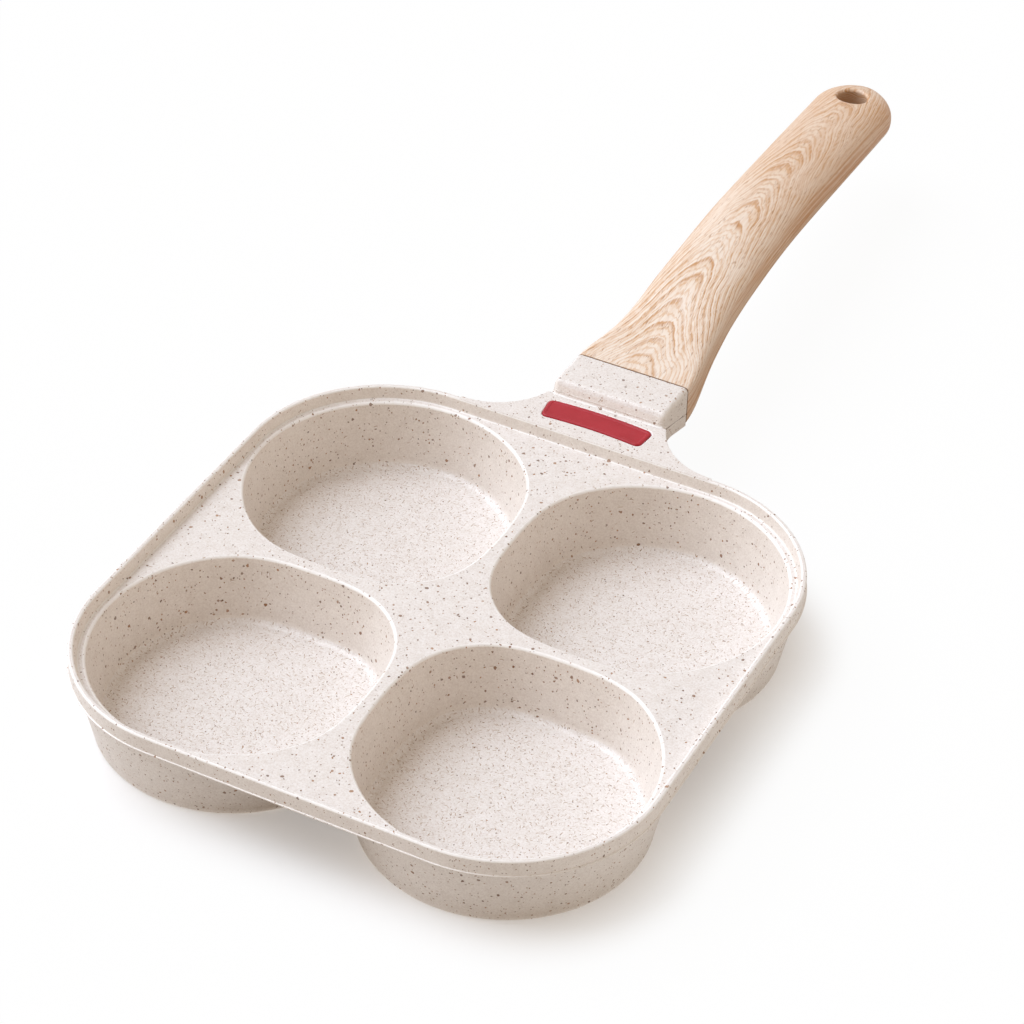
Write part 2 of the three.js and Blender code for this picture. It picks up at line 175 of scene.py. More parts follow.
def ringStack(count, profile, place):
    # closed skin: a loop of edges pulled through the steps of a profile, both ends filled
    bm = bmesh.new()
    turn = bm.verts.layers.int.new("turn")
    for v in bmesh.ops.create_circle(bm, cap_ends=True, radius=1, segments=count)["verts"]:
        v[turn] = round(math.atan2(v.co.y, v.co.x) / math.tau * count) % count
        v.co = place(v[turn], *profile[0])
    rim = bm.edges[:]
    for step in profile[1:]:
        grown = bmesh.ops.extrude_edge_only(bm, edges=rim)["geom"]
        rim = [g for g in grown if isinstance(g, bmesh.types.BMEdge) and g.is_boundary]
        for g in grown:
            if isinstance(g, bmesh.types.BMVert):
                g.co = place(g[turn], *step)
    bmesh.ops.edgeloop_fill(bm, edges=rim)
    bmesh.ops.recalc_face_normals(bm, faces=bm.faces)
    return bm


def slab(points, pull):
    # a flat outline of a few points, pulled into a solid
    bm = bmesh.new()
    bm.faces.new([bm.verts.new(p) for p in points])
    return pulled(bm, pull)


def pulled(bm, pull):
    top = bmesh.ops.extrude_face_region(bm, geom=bm.faces[:], use_keep_orig=True)["geom"]
    bmesh.ops.translate(bm, vec=pull, verts=[g for g in top if isinstance(g, bmesh.types.BMVert)])
    bmesh.ops.recalc_face_normals(bm, faces=bm.faces)
    return bm


def roundEdges(bm, pick, radius, segments):
    # rounds the edges that pick chooses by their middle and direction
    edges = []
    for e in bm.edges:
        start, end = (v.co for v in e.verts)
        if pick((start + end) / 2, (end - start).normalized()):
            edges.append(e)
    bmesh.ops.bevel(bm, geom=edges, offset=radius, offset_type="OFFSET", segments=segments, profile=0.5,
                    affect="EDGES", material=-1, clamp_overlap=True)


def roundCorners(bm, corners, radius, segments):
    bmesh.ops.bevel(bm, geom=corners, offset=radius, offset_type="OFFSET", segments=segments, profile=0.5,
                    affect="VERTICES", material=-1)


roundSteps = 6


def quarter(radius, steps=roundSteps):
    # quarter of a round edge as (along, up), level at (0, 0)
    turns = [math.pi / 2 * i / steps for i in range(steps + 1)]
    return [(radius * math.sin(t), radius * (1 - math.cos(t))) for t in turns]


def blend(a, b, share):
    return a + (b - a) * share


def clamp(share):
    return max(0, min(1, share))


def same(a, b):
    return abs(a - b) < 1e-3


def putInOrder(bm):
    # the operators leave edges and faces in an order that changes from run to run
    count = len(bm.verts)
    bm.verts.index_update()

    def rank(part):
        spots = [v.index for v in part.verts]
        return (min(spots) * count + max(spots)) * count + sum(i * i for i in spots) % count

    bm.edges.sort(key=rank)
    bm.faces.sort(key=rank)


def asObject(name, bm):
    putInOrder(bm)
    mesh = bpy.data.meshes.new(name)
    bm.to_mesh(mesh)
    bm.free()
    made = bpy.data.objects.new(name, mesh)
    scene.collection.objects.link(made)
    return made


def combine(base, operation, tools):
    for tool in tools:
        cut = base.modifiers.new(operation.lower(), "BOOLEAN")
        cut.operation = operation
        cut.solver = "MANIFOLD"
        cut.object = tool
    bpy.context.view_layer.update()
    shaped = base.evaluated_get(bpy.context.evaluated_depsgraph_get())
    base.data = bpy.data.meshes.new_from_object(shaped)
    base.modifiers.clear()
    for tool in tools:
        bpy.data.objects.remove(tool)


meshing = {"merge": 0.0005, "flat": 0.2, "sharp": 40}  # millimetres, degrees, degrees


def finishPiece(piece, nodes, material, sharp=meshing["sharp"]):
    bm = bmesh.new()
    bm.from_mesh(piece.data)
    bmesh.ops.remove_doubles(bm, verts=bm.verts, dist=meshing["merge"])
    flat = math.radians(meshing["flat"])
    bmesh.ops.dissolve_limit(bm, angle_limit=flat, verts=bm.verts, edges=bm.edges)
    bm.to_mesh(piece.data)
    bm.free()
    piece.data.transform(toFrame)
    piece.data.shade_smooth()
    piece.data.set_sharp_from_angle(angle=math.radians(sharp))
    piece.modifiers.new("evened", "WEIGHTED_NORMAL").keep_sharp = True
    piece.data.materials.clear()
    piece.data.materials.append(material)
    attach(piece, "root")
    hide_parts(*nodes)
    print(piece.name, len(piece.data.polygons), "faces")


# Coating: cream ground with fine grain, short curled flecks and brown specks of three sizes, with painted
# shade on the steep faces as a warmer, darker copy of the ground
coatingLook = {
    # wall: the ground's warmer, darker copy for the steep faces, painted shade
    "ground": (0.903, 0.865, 0.842), "wall": (0.885, 0.828, 0.775), "cloud": (0.74, 0.67, 0.615),
    # pale: the colour of the painted highlights on the edges and beside the flecks
    "pale": (0.97, 0.945, 0.925), "fleck": (0.46, 0.315, 0.21),
    "speckLight": (0.40, 0.19, 0.075), "speckDark": (0.135, 0.054, 0.019),
    # patterns, in cells to the metre
    "grainScale": 1600, "cloudScale": 230, "crinkleScale": 560, "gapScale": 760, "wobbleScale": 900,
    # flecks, in millimetres, and how they turn, show and fade
    "fleckCell": 2.6, "fleckHalf": (0.22, 0.66), "fleckWide": 0.16, "fleckSoft": 0.06, "fleckCurl": 0.9,
    "fleckSag": 0.2, "fleckTaper": (0.05, -0.2), "fleckTurns": (7.3, 5.1, 9.7), "fleckShown": (0.05, 0.75),
    "fleckTone": (0.34, 0.5), "highlightHaloTone": 0.6,
    # specks: cell, smallest and largest radius, how much smaller they are on the cup floors
    "specks": ((1.5, 0.15, 0.28, 0.12), (2.6, 0.23, 0.4, 0.3), (4.8, 0.38, 0.6, 0.55)),
    "speckFade": (0.04, -0.06), "speckTone": (0.75, 0.25),
    # heights in metres: the cup floors, and the painted highlight lines along the edges of the rim and of the
    # cups
    "floor": (0.0048, 0.003), "edgeHighlights": ((0.0290, 0.0301), (0.0243, 0.0259)), "edgeHighlightFade": (0.0003, 0.0002),
    "edgeHighlightTone": 0.85, "wobble": 0.0009, "fleckShifts": (0.0, 0.0371),
    "level": 0.6, "roughness": 0.42, "bump": (0.45, 0.0003), "gloss": 0.22, "glossRough": 0.24,
}


def coatingFinish():
    look = coatingLook
    f = Finish("speckled coating")
    place = f.place()
    x, y, z = f.split(place)
    nx, ny, nz = f.split(f.node("ShaderNodeTexCoord", out="Normal"))
    level = abs(nz).above(look["level"])
    sideways = abs(nx).above(abs(ny)) * (1 - level)
    flat = f.join(x + (y - x) * sideways, z + (y - z) * level, 0)
    floor = z.rise(*look["floor"]) * level

    # ground: grain and clouds, painted highlight lines on the rim and cup edges, fine broken crinkles
    grain = f.noise(place, look["grainScale"], 2, 0.65)
    cloud = f.noise(place, look["cloudScale"], 3, 0.55)
    # painted shade: steep faces take the warmer, darker wall colour, flat faces the ground colour
    ground = f.mix(cloud.rise(0.35, 0.75) * 0.25 + grain.rise(0.34, 0.68) * 0.6,
                   f.mix(level, look["wall"], look["ground"]), look["cloud"])
    # painted highlight: pale lines on the slanted faces of the rim lip and the cup edges
    fadeLow, fadeHigh = look["edgeHighlightFade"]
    rim, brim = (z.rise(low, low + fadeLow) * z.rise(high + fadeHigh, high) for low, high in look["edgeHighlights"])
    edgeHighlights = (rim + brim) * nz.rise(0.25, 0.5) * nz.rise(0.9995, 0.985)
    ground = f.mix(edgeHighlights * look["edgeHighlightTone"], ground, look["pale"])
    crinkle = abs(f.noise(place, look["crinkleScale"], 2, 0.55) - 0.5).rise(0.035, 0.005)
    crinkle = crinkle * f.noise(place, look["gapScale"], 1, 0.5).rise(0.47, 0.57)
    ground = f.mix(crinkle * (0.1 + 0.3 * floor), ground, look["fleck"])
    wobble = f.vector("SUBTRACT", f.noise(place, look["wobbleScale"], 1, 0.5, "Color"), (0.5, 0.5, 0.5))
    shaken = f.vector("ADD", place, f.vector("MULTIPLY", wobble, (look["wobble"],) * 3))

    # flecks: a short curled stroke of its own direction in each cell, most of them on the cup floors, each
    # with a pale line beside it as painted highlight
    strokes, highlightHalos = [], []
    wide = look["fleckWide"]
    soft = (wide + look["fleckSoft"], wide - look["fleckSoft"])
    for shift in look["fleckShifts"]:
        moved = f.vector("ADD", flat, (shift, shift, 0))
        cells = f.node("ShaderNodeTexVoronoi", {"voronoi_dimensions": "2D"},
                       {"Vector": moved, "Scale": perMetre / look["fleckCell"]}, "Color")
        away = f.vector("SUBTRACT", moved, cells.beside("Position"))
        awayX, awayY = f.split(f.vector("MULTIPLY", away, (perMetre, perMetre, 0)))[:2]
        chance, tone, bend = f.split(cells)
        byChance, byTone, byBend = look["fleckTurns"]
        angle = (chance * byChance + tone * byTone + bend * byBend) * math.tau
        aimX, aimY = angle.math("COSINE", angle), angle.math("SINE", angle)
        run = awayX * aimX + awayY * aimY
        curl = (bend - 0.5) * look["fleckCurl"] * (run * run - look["fleckSag"])
        aside = awayY * aimX - awayX * aimY - curl
        few, more = look["fleckShown"]
        shown = (floor * more + few).above(chance)
        short, long = look["fleckHalf"]
        reach = (abs(run) - (short + (long - short) * tone)).rise(*look["fleckTaper"]) * shown
        faint, strong = look["fleckTone"]
        strokes.append(abs(aside).rise(*soft) * reach * (faint + strong * bend))
        # painted highlight: a pale line along one side of each stroke, gathered below as pale
        highlightHalos.append(abs(aside - 2 * wide).rise(*soft) * reach)
    fleck, pale = strongest(strokes), strongest(highlightHalos)
    colour = f.mix(fleck, f.mix(pale * look["highlightHaloTone"], ground, look["pale"]), look["fleck"])

    masks = []
    for cell, small, large, shrink in look["specks"]:
        cells = f.node("ShaderNodeTexVoronoi", None, {"Vector": shaken, "Scale": perMetre / cell}, "Distance")
        red, green, blue = f.split(cells.beside("Color"))
        radius = (small + (large - small) * green) * (1 - floor * shrink)
        masks.append((cells * cell - radius).rise(*look["speckFade"]))
        brown = f.mix(red, look["speckLight"], look["speckDark"])
        faint, strong = look["speckTone"]
        colour = f.mix(masks[-1] * (faint + strong * blue), colour, brown)
    specks = strongest(masks)

    relief = grain * 0.5 + cloud * 0.3 - crinkle * 0.5 - specks * 0.5 - fleck * 0.8 + pale * 0.4
    return f.surface(Base_Color=colour, Roughness=look["roughness"] + 0.12 * (grain - 0.5) - 0.06 * specks,
                     Normal=f.bump(relief, *look["bump"]),
                     Coat_Weight=look["gloss"], Coat_Roughness=look["glossRough"])


# Wood: pale ash with nested pointed arches along the top and fine straight lines down the sides, darker
# towards the far end, with painted shade down both sides
woodLook = {
    "pale": (0.91, 0.798, 0.697), "far": (0.735, 0.54, 0.388), "tan": (0.655, 0.352, 0.125),
    "line": (0.5, 0.205, 0.045), "joint": (0.26, 0.135, 0.065), "pore": (0.42, 0.21, 0.095),
    # bore, streak: painted shade inside the hanging hole, with lighter streaks
    "bore": (0.05, 0.034, 0.025), "streak": (0.22, 0.165, 0.13),
    # patterns: cells to the millimetre across and along, seed, detail, roughness
    "drift": (0.05, 0.022, 0.3, 2, 0.5), "sway": (0.22, 0.055, 2.9, 2, 0.5), "fray": (1.5, 0.2, 1.7, 2, 0.6),
    "patchy": (0.1, 0.035, 4.1, 3, 0.6), "lines": (0.85, 0.011, 6.3, 3, 0.65),
    "dash": (3.0, 0.3, 7.7, 1, 0.5), "chalk": (2.4, 0.22, 5.2, 2, 0.6),
    # arches, in millimetres
    "ring": 10.5, "steep": 11.0, "blunt": 9.0, "fine": 2.4, "aside": 5.0, "byDrift": 18, "bySway": 10,
    "byFray": 1.8, "lineSway": 1.2, "sides": (9.0, 19.0), "farPart": (45, 150), "jointWide": (0.45, 0.2),
    "roughness": 0.4, "bump": (0.14, 0.0003), "gloss": 0.1, "glossRough": 0.3,
}


def woodFinish():
    look = woodLook
    f = Finish("wood grain")
    grain = f.node("ShaderNodeAttribute", {"attribute_name": "grain"}, out="Vector")
    across, along, bore = f.split(grain)  # millimetres round the section and along the grip

    def pattern(name, shift=None):
        wide, long, seed, detail, rough = look[name]
        spot = across * wide if shift is None else across * wide + shift
        return f.noise(f.join(spot, along * long, seed), 1, detail, rough)

    drift, sway, fray = (pattern(name) - 0.5 for name in ("drift", "sway", "fray"))
    off = across + drift * look["aside"]
    arch = along + ((off * off + look["blunt"] ** 2).root() - look["blunt"]) * look["steep"]
    arch = arch + drift * look["byDrift"] + sway * look["bySway"] + fray * look["byFray"]
    turn = arch / look["ring"]
    ring = turn.fract()
    patchy = pattern("patchy")
    side = abs(across).rise(*look["sides"])
    # darker towards the far end, and painted shade down both sides: ground and lines move to the darker far
    # and line colours
    shade = (along.rise(*look["farPart"]) * 0.66 + side * 0.7).atMost(1)
    ground = f.mix(shade, look["pale"], look["far"])
    deep = f.mix(shade, look["tan"], look["line"])

    # arches: a broad late wood, thin lines between and a dark edge
    late = ring.rise(0.1, 0.82) * ring.rise(1.0, 0.88)
    colour = f.mix(late * (0.04 + 0.42 * patchy.rise(0.38, 0.66)), ground, look["tan"])
    thin = abs((turn * look["fine"] + fray * 0.6).fract() - 0.5).rise(0.24, 0.46)
    colour = f.mix(thin * (0.26 + 0.46 * patchy) * (1 - side * 0.4), colour, deep)
    edge = ring.rise(0.62, 0.86) * ring.rise(1.0, 0.93) * patchy.rise(0.34, 0.58)
    colour = f.mix(edge * (0.62 - 0.34 * side), colour, look["line"])

    # straight lines of the quarter-sawn sides
    lines = pattern("lines", sway * look["lineSway"])
    colour = f.mix(lines.rise(0.45, 0.53) * (0.16 + 0.34 * side), colour, deep)
    colour = f.mix(lines.rise(0.53, 0.6) * (0.1 + 0.6 * side), colour, look["line"])

    # pores, pale streaks, the hanging hole darkened with depth as painted shade, and the joint line at the
    # block
    dash = pattern("dash")
    pores = dash.rise(0.62, 0.69) * (0.3 + 0.7 * late)
    colour = f.mix(pores * 0.75, colour, look["pore"])
    colour = f.mix(pattern("chalk").rise(0.53, 0.62) * (0.5 - 0.35 * side), colour, ground)
    # painted shade: the hanging hole darkens to near black deeper in, with lighter streaks along the grain
    hollow = f.mix(lines.rise(0.5, 0.7), look["bore"], look["streak"])
    colour = f.mix(bore, colour, hollow)
    colour = f.mix(along.rise(*look["jointWide"]), colour, look["joint"])
    relief = thin * -0.3 - pores - edge * 0.5
    return f.surface(Base_Color=colour, Roughness=look["roughness"] + 0.12 * (dash - 0.5) - 0.1 * bore,
                     Normal=f.bump(relief, *look["bump"]),
                     Coat_Weight=look["gloss"], Coat_Roughness=look["glossRough"])


siliconeLook = {
    "light": (0.43, 0.022, 0.034), "dark": (0.395, 0.018, 0.028), "dustScale": 3000, "cloudScale": 160,
    "roughness": 0.4, "bump": (0.1, 0.0002), "shine": 0.3,
}


def siliconeFinish():
    look = siliconeLook
    f = Finish("red silicone")
    place = f.place()
    dust = f.noise(place, look["dustScale"], 2, 0.6)
    cloud = f.noise(place, look["cloudScale"], 2, 0.5)
    colour = f.mix(cloud.rise(0.3, 0.7), look["light"], look["dark"])
    return f.surface(Base_Color=colour, Roughness=look["roughness"] + 0.12 * (dust - 0.5),
                     Normal=f.bump(dust, *look["bump"]), Specular_IOR_Level=look["shine"])


metalLook = {
    "zinc steel": {"bright": (0.62, 0.62, 0.63), "worn": (0.50, 0.50, 0.52), "roughness": 0.34},
    "turned brass": {"bright": (0.72, 0.53, 0.24), "worn": (0.58, 0.40, 0.16), "roughness": 0.36},
    "brushScale": 900, "bump": (0.08, 0.0002),
}


def metalFinish(name):
    look = metalLook[name]
    f = Finish(name)
    brush = f.noise(f.place(), metalLook["brushScale"], 3, 0.7)
    colour = f.mix(brush.rise(0.35, 0.7), look["bright"], look["worn"])
    return f.surface(Base_Color=colour, Metallic=1.0, Roughness=look["roughness"] + 0.16 * (brush - 0.5),
                     Normal=f.bump(brush, *metalLook["bump"]))


coating = coatingFinish()
wood = woodFinish()
silicone = siliconeFinish()
steel = metalFinish("zinc steel")
brass = metalFinish("turned brass")
print("materials made")

# Casting, in millimetres
seatGap = 0.3
cup = {
    "radius": 47.2, "bulge": 2.6, "flat": 46.1, "sharpness": 18, "centre": 46.254, "draft": 4, "edge": 1.15,
    "floorRound": 3.2, "floor": 2.6, "wallTop": 4.1, "wallFloor": 3.5, "baseRound": 1.6, "foot": 5,
    "footDepth": 0.5, "overlap": 1.1, "turns": 144, "floorSteps": 14,
}
tray = {
    "half": 97.454, "corner": 49.9, "top": 30, "deck": 25.8, "under": 23.6, "lip": 2.3, "draft": 0.7,
    "round": 0.8, "foot": 0.7, "chamfer": 0.6, "setBack": 0.4, "cornerSteps": 32, "footSteps": 5,
    # the fine step round the skirt, as (inset, height) over the chamfer, then past the set-back
    "skirtStep": ((0.06, -0.1), (0, 0), (0.02, 0.22), (0.1, 0.32)), "skirtBack": ((-0.04, 0.42), (0, 0.5)),
}
neck = {
    "fillet": 25, "half": 20.5, "coverFront": 114.054, "coverBack": 133.154, "slope": math.radians(15.5),
    "step": 1.7, "thick": 4.5, "rootOver": 0.5, "below": 16, "margin": 0.1, "filletSteps": 28,
    "coreDepth": 2.5, "coreMargin": 3.4, "rib": 4, "coreRound": 2,
}
screws = {
    "spacing": 18, "along": 127.854, "shank": 2, "head": 3.9, "headHeight": 2.4, "reach": 3.6, "drive": 1.5,
    "driveDepth": 1.3, "washer": 4.3, "washerThick": 0.8, "counterbore": 2, "insert": 3, "insertLength": 4,
    "insertDepth": 0.6, "drillLow": -9, "drillHigh": 4.5, "drillTurns": 48,
}
washerSeat = screws["counterbore"] - neck["thick"]
quadrants = ((1, 1), (-1, 1), (-1, -1), (1, -1))


def seatHeight(y):
    return tray["top"] - neck["step"] - (y - neck["coverFront"]) * math.tan(neck["slope"])


def cupReach(first, second):
    # round, with a bulge towards the middle of the pan and flats towards the next cups
    middle = max(0, (first + second) / math.sqrt(2))
    power = cup["sharpness"]
    joined = (cup["radius"] + cup["bulge"] * middle ** 4) ** -power
    joined += sum((max(0, part) / cup["flat"]) ** power for part in (first, second))
    return joined ** (-1 / power)


def cupPlace(sx, sy):
    def place(turn, inset, height):
        angle = math.tau * turn / cup["turns"]
        x, y = math.cos(angle), math.sin(angle)
        reach = cupReach(-sx * x, -sy * y) - inset
        return Vector((sx * cup["centre"] + reach * x, sy * cup["centre"] + reach * y, height))
    return place


def trayPlace(turn, inset, height):
    corner, step = divmod(turn, tray["cornerSteps"] + 1)
    angle = (corner + step / tray["cornerSteps"]) * math.pi / 2
    sx, sy = quadrants[corner]
    middle, radius = tray["half"] - tray["corner"], tray["corner"] - inset
    return Vector((sx * middle + radius * math.cos(angle), sy * middle + radius * math.sin(angle), height))


def wallInset(height):
    return cup["edge"] + cup["draft"] * (tray["deck"] - height) / (tray["deck"] - cup["floor"])


def wallThickness(height):
    share = (height - cup["floor"]) / (tray["deck"] - cup["floor"])
    return cup["wallFloor"] + (cup["wallTop"] - cup["wallFloor"]) * share


def outerInset(height):
    return wallInset(height) - wallThickness(height)


def trayProfile():
    low, back = tray["under"] + tray["chamfer"], tray["setBack"]
    rounded, foot = quarter(tray["round"]), quarter(tray["foot"], tray["footSteps"])
    steps = [(tray["chamfer"], tray["under"])]
    steps += [(inset, low + up) for inset, up in tray["skirtStep"]]
    steps += [(back + inset, low + up) for inset, up in tray["skirtBack"]]
    steps += [(back + tray["round"] - a, tray["top"] - d) for a, d in reversed(rounded)]
    steps += [(tray["lip"] - tray["round"] + a, tray["top"] - d) for a, d in rounded]
    inner = tray["lip"] + tray["draft"] + tray["foot"]
    return steps + [(inner - a, tray["deck"] + u) for a, u in reversed(foot)]


def cupOutsideProfile():
    base, under = cup["baseRound"], tray["under"]
    steps = [(outerInset(base) + base - a, u) for a, u in quarter(base)]
    return steps + [(outerInset(under), under), (outerInset(under), under + cup["overlap"])]


def cupHollowProfile():
    bend, edge, floor = cup["floorRound"], cup["edge"], cup["floor"]
    steps = [(wallInset(floor + bend) + bend - a, floor + u) for a, u in quarter(bend, cup["floorSteps"])]
    brim = wallInset(tray["deck"] - edge) - edge
    steps += [(brim + a, tray["deck"] - d) for a, d in reversed(quarter(edge))]
    return steps + [(brim, tray["top"])]


def footProfile():
    inset = outerInset(cup["baseRound"]) + cup["baseRound"] + cup["foot"]
    return [(inset, -cup["footDepth"]), (inset + cup["footDepth"], cup["footDepth"])]


def neckSolid():
    half, top, back = neck["half"], tray["top"], neck["coverBack"]
    reach = half + neck["fillet"] + neck["rootOver"]
    root = tray["half"] - tray["lip"] / 2 - tray["round"]
    low = tray["under"] - neck["below"]
    bm = bmesh.new()
    right = [(reach, root), (reach, tray["half"]), (half, tray["half"]), (half, back)]
    corners = right + [(-x, y) for x, y in reversed(right)]
    bm.faces.new([bm.verts.new((x, y, low)) for x, y in corners])
    bent = [v for v in bm.verts if same(abs(v.co.x), half) and same(v.co.y, tray["half"])]
    roundCorners(bm, bent, neck["fillet"], neck["filletSteps"])
    pulled(bm, (0, 0, top - low))
    margin = neck["margin"]
    roundEdges(bm, lambda m, d: same(m.z, top) and root + margin < m.y < back - margin,
               tray["round"], roundSteps)
    drop = neck["thick"] / math.cos(neck["slope"])
    step, front = neck["coverFront"] - seatGap, tray["half"] - tray["lip"]
    under = neck["coverFront"] + (top - neck["step"] - drop - tray["under"]) / math.tan(neck["slope"])
    side = [(front, tray["under"]), (under, tray["under"]), (back, seatHeight(back) - drop),
            (back, seatHeight(back)), (step, seatHeight(step)), (step, top), (front, top)]
    plan = asObject("neckPlan", bm)
    profile = slab([(-tray["half"], y, z) for y, z in side], (2 * tray["half"], 0, 0))
    combine(plan, "INTERSECT", [asObject("neckSide", profile)])
    return plan


def corePocket(side):
    bm = bmesh.new()
    bmesh.ops.create_cube(bm, size=1)
    wide = neck["half"] - neck["coreMargin"] - neck["rib"] / 2
    front, back = tray["half"] + neck["coreMargin"], neck["coverFront"] - neck["coreMargin"]
    middle = (side * (neck["rib"] + wide) / 2, (front + back) / 2, tray["under"])
    bmesh.ops.scale(bm, vec=(wide, back - front, 2 * neck["coreDepth"]), verts=bm.verts)
    bmesh.ops.translate(bm, vec=middle, verts=bm.verts)
    roundEdges(bm, lambda m, d: same(abs(d.z), 1), neck["coreRound"], roundSteps)
    return asObject("corePocket", bm)


def turnedSolid(profile, count, matrix):
    # closed turned shape: (radius, height) steps from one end to the other
    def place(turn, radius, height):
        angle = math.tau * turn / count
        return Vector((radius * math.cos(angle), radius * math.sin(angle), height))
    bm = ringStack(count, profile, place)
    bmesh.ops.transform(bm, matrix=matrix, verts=bm.verts)
    return bm


def screwFrame(side):
    spot = (side * screws["spacing"] / 2, screws["along"], seatHeight(screws["along"]))
    return Matrix.Translation(spot) @ Matrix.Rotation(-neck["slope"], 4, "X")


def drilled(side, radius, low, high):
    steps = [(radius, low), (radius, high)]
    return asObject("drill", turnedSolid(steps, screws["drillTurns"], screwFrame(side)))


# Red inlay in the neck
patch = {
    "width": 37, "height": 9, "bow": 165, "corner": 1.9, "depth": 1.2, "proud": 0.3, "middle": 106.4,
    "edge": 0.6, "lip": 0.6, "lipSteps": 4, "lipOver": 1, "close": 0.26, "border": 0.5,
    "sunk": 0.18, "cornerSteps": 10, "sideSteps": (44, 4, 44, 4),
    # from the border down to the sunk field, as (inset, share of the depth)
    "borderFall": ((0, 0), (0.12, 0.2), (0.3, 0.8), (0.45, 1)),
}


def barWalk():
    # stops round a bar with rounded ends: corner, share of its arc, share of the side after it
    stops, steps = [], patch["cornerSteps"]
    for corner, sideSteps in enumerate(patch["sideSteps"]):
        stops += [(corner, i / steps, 0) for i in range(steps + 1)]
        stops += [(corner, 1, (i + 1) / (sideSteps + 1)) for i in range(sideSteps)]
    return stops


barStops = barWalk()


def barPlace(turn, grow, height):
    corner, arc, side = barStops[turn]
    long, tall = patch["width"] / 2 - patch["corner"], patch["height"] / 2 - patch["corner"]
    angle = (corner + arc) * math.pi / 2
    radius = patch["corner"] + grow
    ends = (quadrants[corner], quadrants[(corner + 1) % 4])
    here, after = (Vector((sx * long, sy * tall)) for sx, sy in ends)
    spot = here.lerp(after, side) + radius * Vector((math.cos(angle), math.sin(angle)))
    bend, reach = spot.x / patch["bow"], patch["bow"] + spot.y
    return Vector((reach * math.sin(bend), patch["middle"] - patch["bow"] + reach * math.cos(bend), height))


def barSolid(profile):
    return ringStack(len(barStops), profile, barPlace)


def recessProfile():
    top, lip = tray["top"], patch["lip"]
    wall = seatGap - patch["close"] / 2
    steps = [(wall, top - patch["depth"] - seatGap)]
    steps += [(wall + lip - a, top - d) for a, d in reversed(quarter(lip, patch["lipSteps"]))]
    return steps + [(wall + lip, top + patch["lipOver"])]


def panPiece():
    outline = ringStack(4 * tray["cornerSteps"] + 4, trayProfile(), trayPlace)
    casting = asObject("pan_casting", outline)
    sides = [(sx, sy) for sx in (-1, 1) for sy in (-1, 1)]

    def cupSolids(name, profile):
        return [asObject(name, ringStack(cup["turns"], profile, cupPlace(*s))) for s in sides]

    combine(casting, "UNION", cupSolids("cupShell", cupOutsideProfile()) + [neckSolid()])
    cuts = cupSolids("cupHollow", cupHollowProfile()) + cupSolids("cupFoot", footProfile())
    cuts += [corePocket(-1), corePocket(1)]
    cuts.append(asObject("recess", barSolid(recessProfile())))
    for side in (-1, 1):
        cuts.append(drilled(side, screws["shank"] + seatGap, screws["drillLow"], screws["drillHigh"]))
        cuts.append(drilled(side, screws["washer"] + seatGap, screws["drillLow"], washerSeat))
    combine(casting, "DIFFERENCE", cuts)
    finishPiece(casting, ["pan_body"], coating)


def patchPiece():
    top, edge = tray["top"] + patch["proud"], patch["edge"]
    side = patch["close"] / 2
    inner = side - edge - patch["border"]
    steps = [(side, tray["top"] - patch["depth"])]
    steps += [(side + a - edge, top - d) for a, d in reversed(quarter(edge))]
    steps += [(inner - a, top - share * patch["sunk"]) for a, share in patch["borderFall"]]
    finishPiece(asObject("red_inlay", barSolid(steps)), ["heat_patch"], silicone)


# Cover block over the grip's tongue
cover = {
    "rise": 4.3, "ridge": 4.6, "fall": 0.7, "foot": 0.8, "corner": 2.2, "edge": 1.7, "edgeShare": 0.6,
    "roof": 2.2, "slope": 2.4, "crispness": 4.0, "flare": 1.1, "flareLength": 4,
    "flareIn": 1, "seam": 0.06, "sink": 0.6, "bedOver": 0.05, "footOver": 0.03, "sideGap": 0.02,
    "shoulderSteps": 10, "stopSteps": (10, 40),
    "tongueHalf": 15, "tongueLength": 13.5, "tongueRoot": 4.8,
}
coverTop = tray["top"] + cover["rise"] - cover["fall"]
gripFront = neck["coverBack"] + seatGap


def tongueBlock(grow):
    front, back = gripFront - cover["tongueLength"] - grow, gripFront + cover["tongueRoot"]
    under = -neck["thick"] if grow else seatGap
    top = coverTop - cover["roof"] - seatGap + grow
    wide = cover["tongueHalf"] + grow
    side = [(front, seatHeight(front) + under), (back, seatHeight(back) + under), (back, top), (front, top)]
    return asObject("tongue", slab([(-wide, y, z) for y, z in side], (2 * wide, 0, 0)))


def coverHeight(y):
    # top of the block: a rounded front that turns over into the gently falling top
    ridge, top = neck["coverFront"] + cover["ridge"], tray["top"] + cover["rise"]
    line = top - (y - ridge) * cover["fall"] / (neck["coverBack"] - ridge)
    foot = tray["top"] + cover["foot"]
    share = max(1e-4, (y - neck["coverFront"]) / cover["slope"])
    return foot + (line - foot) * (1 + share ** -cover["crispness"]) ** (-1 / cover["crispness"])


def shoulder(turn):
    # side of the block, step round its shoulder (0 at the foot) and the angle there
    steps = cover["shoulderSteps"]
    side, step = (1, turn) if turn <= steps + 1 else (-1, 2 * steps + 3 - turn)
    return side, step, math.pi / 2 * (step - 1) / steps


def coverPlace(turn, y):
    # section across the block: flat bottom inside the base, rounded shoulders
    corner = cover["corner"]
    into = min(corner, y - neck["coverFront"])
    half = neck["half"] - corner + math.sqrt(corner ** 2 - (corner - into) ** 2)
    high, low = coverHeight(y), tray["top"] - cover["sink"]
    radius = min(cover["edge"], (high - low) * cover["edgeShare"])
    side, step, angle = shoulder(turn)
    if step == 0:
        return Vector((side * half, y, low))
    x, z = half - radius + radius * math.cos(angle), high - radius + radius * math.sin(angle)
    return Vector((side * x, y, z))


